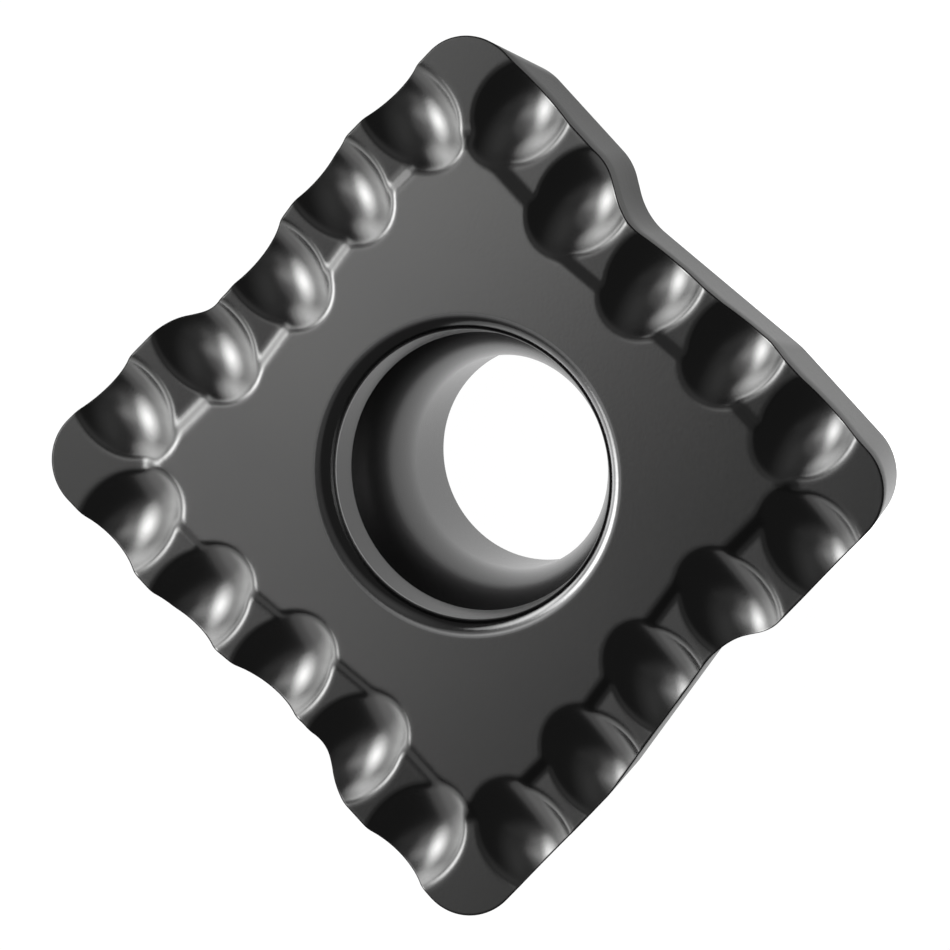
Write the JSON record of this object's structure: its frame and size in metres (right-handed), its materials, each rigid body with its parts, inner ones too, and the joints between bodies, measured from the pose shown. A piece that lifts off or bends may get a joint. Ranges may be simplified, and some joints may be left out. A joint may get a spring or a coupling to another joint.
{
  "type": "carbide insert",
  "caption": "Square single-sided cutting insert with stepped, scalloped edges, relieved flanks and a bell-seated screw hole.",
  "frame": {"origin": "centre of the flat seat face, on the axis of the screw hole", "axes": "+Z along the hole from the seat face to the rake face; +X and +Y square to two neighbouring cutting edges"},
  "size_m": [0.0092, 0.0092, 0.0032],
  "materials": {
    "coated_carbide": "sintered tungsten carbide with a thin hard dark grey coating laid down from vapour, smooth and softly glossy"
  },
  "bodies": {
    "root": {"insert_body": "coated_carbide"}
  },
  "joints": []
}
